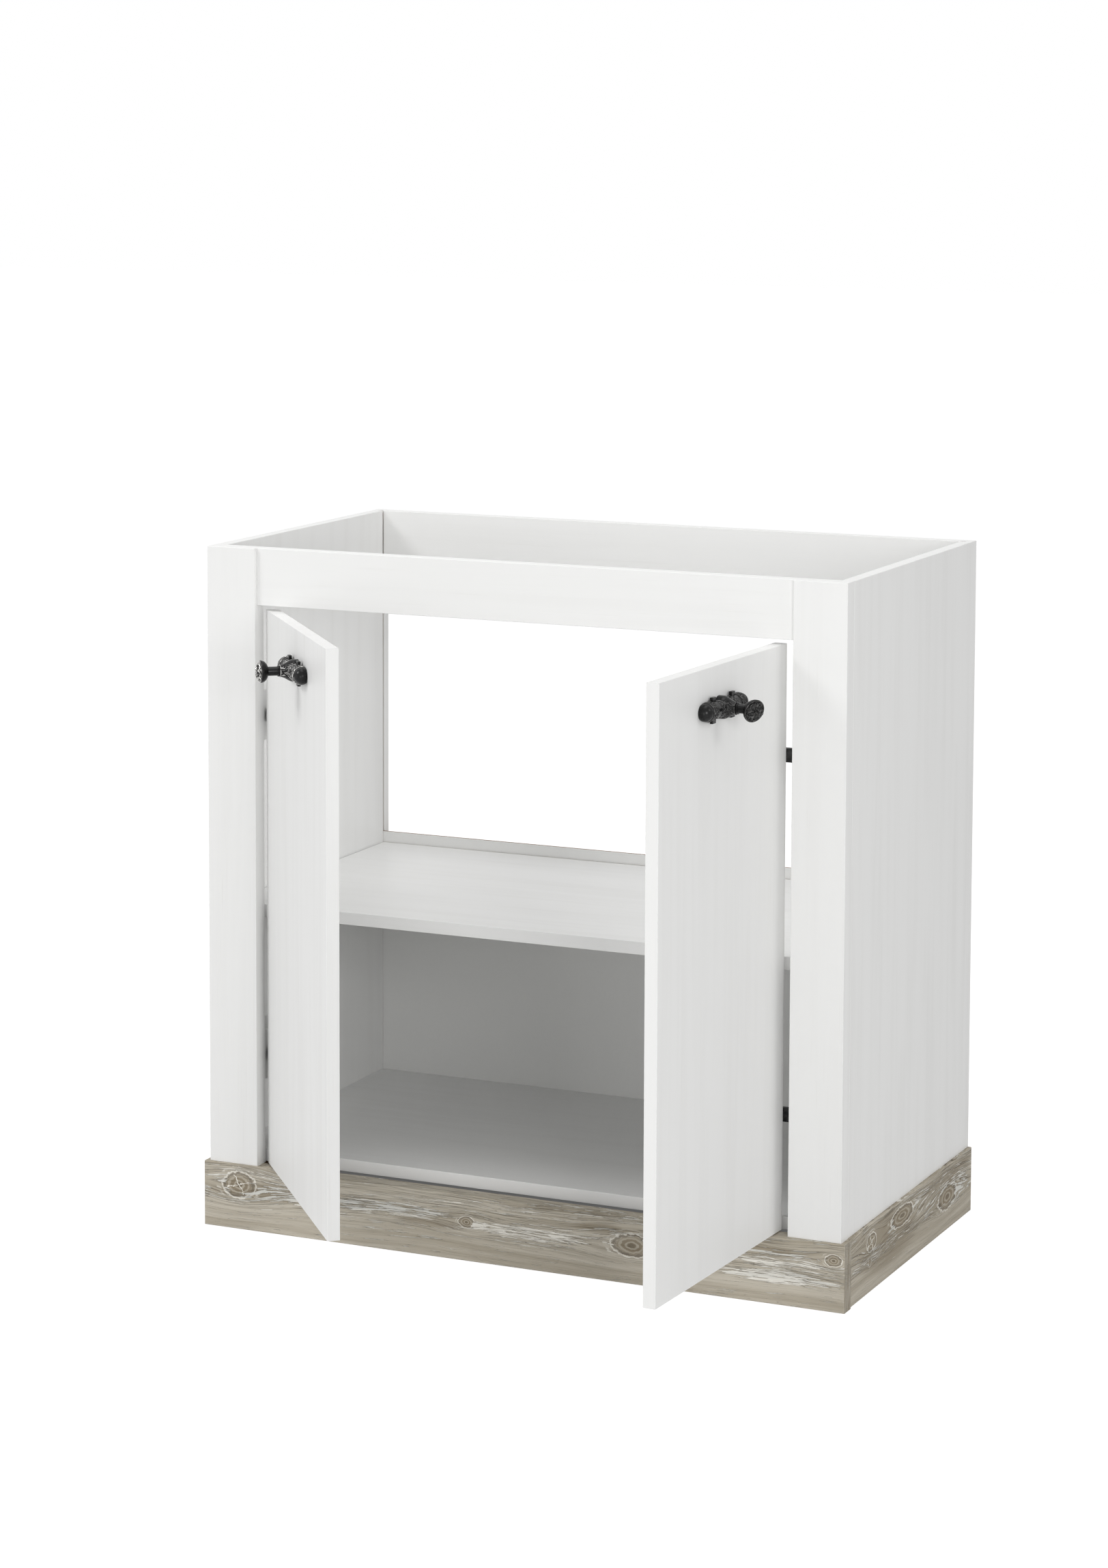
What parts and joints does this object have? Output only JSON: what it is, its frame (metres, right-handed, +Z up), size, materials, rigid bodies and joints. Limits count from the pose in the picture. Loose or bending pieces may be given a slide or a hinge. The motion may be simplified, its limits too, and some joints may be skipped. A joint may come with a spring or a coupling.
{
  "type": "sink base cabinet",
  "caption": "Sink base cabinet with an open top, two inset doors, a shelf, an open service back and a plinth.",
  "frame": {"origin": "on the floor, in the middle of the width, in the plane of the wall behind the cabinet", "axes": "+Z up, +Y into the wall, +X to the right of someone facing the doors"},
  "size_m": [0.812, 0.7618, 0.818],
  "materials": {
    "white_foil": "white foil on chipboard with a faint pine grain",
    "back_panel_board": "thin white fibreboard",
    "used_wood": "worn grey-brown wood with remains of pale paint",
    "plain_wood": "bare softwood",
    "antique_black": "satin black with rubbed high spots",
    "hinge_metal": "dark gunmetal",
    "zinc_steel": "zinc plated",
    "soft_plastic": "clear soft plastic"
  },
  "bodies": {
    "cabinet": {"apron": "white_foil", "bottom_board": "white_foil", "cam_bolts": "zinc_steel", "cam_locks": "zinc_steel", "corner_block_screws": "zinc_steel", "door_bumpers": "soft_plastic", "hinge_plate_screws": "zinc_steel", "left_lower_hinge_arm": "hinge_metal", "left_lower_hinge_block": "white_foil", "left_lower_hinge_plate": "hinge_metal", "left_side_panel": "white_foil", "left_stile": "white_foil", "left_upper_hinge_arm": "hinge_metal", "left_upper_hinge_block": "white_foil", "left_upper_hinge_plate": "hinge_metal", "lower_back_panel": "back_panel_board", "plinth_front_board": "used_wood", "plinth_left_board": "used_wood", "plinth_left_front_corner_block": "plain_wood", "plinth_left_rear_corner_block": "plain_wood", "plinth_rear_rail": "used_wood", "plinth_right_board": "used_wood", "plinth_right_front_corner_block": "plain_wood", "plinth_right_rear_corner_block": "plain_wood", "right_lower_hinge_arm": "hinge_metal", "right_lower_hinge_block": "white_foil", "right_lower_hinge_plate": "hinge_metal", "right_side_panel": "white_foil", "right_stile": "white_foil", "right_upper_hinge_arm": "hinge_metal", "right_upper_hinge_block": "white_foil", "right_upper_hinge_plate": "hinge_metal", "shelf": "white_foil", "shelf_pins": "zinc_steel", "top_back_rail": "white_foil", "wood_dowels": "plain_wood"},
    "left_door": {"left_cup_screws": "zinc_steel", "left_door_panel": "white_foil", "left_knob_bar": "antique_black", "left_knob_post": "antique_black", "left_knob_rosette": "antique_black", "left_knob_screw": "zinc_steel", "left_lower_hinge_cup": "hinge_metal", "left_lower_hinge_link": "hinge_metal", "left_upper_hinge_cup": "hinge_metal", "left_upper_hinge_link": "hinge_metal"},
    "right_door": {"right_cup_screws": "zinc_steel", "right_door_panel": "white_foil", "right_knob_bar": "antique_black", "right_knob_post": "antique_black", "right_knob_rosette": "antique_black", "right_knob_screw": "zinc_steel", "right_lower_hinge_cup": "hinge_metal", "right_lower_hinge_link": "hinge_metal", "right_upper_hinge_cup": "hinge_metal", "right_upper_hinge_link": "hinge_metal"}
  },
  "joints": [
    {"name": "left_door_hinge", "type": "hinge", "parent": "cabinet", "child": "left_door", "pos_m": [-0.3205, -0.4428, 0.4], "axis": [0, 0, -1], "range_deg": [-50.5, 59.5]},
    {"name": "right_door_hinge", "type": "hinge", "parent": "cabinet", "child": "right_door", "pos_m": [0.3205, -0.4428, 0.4], "axis": [0, 0, 1], "range_deg": [-87.4, 22.6]}
  ]
}
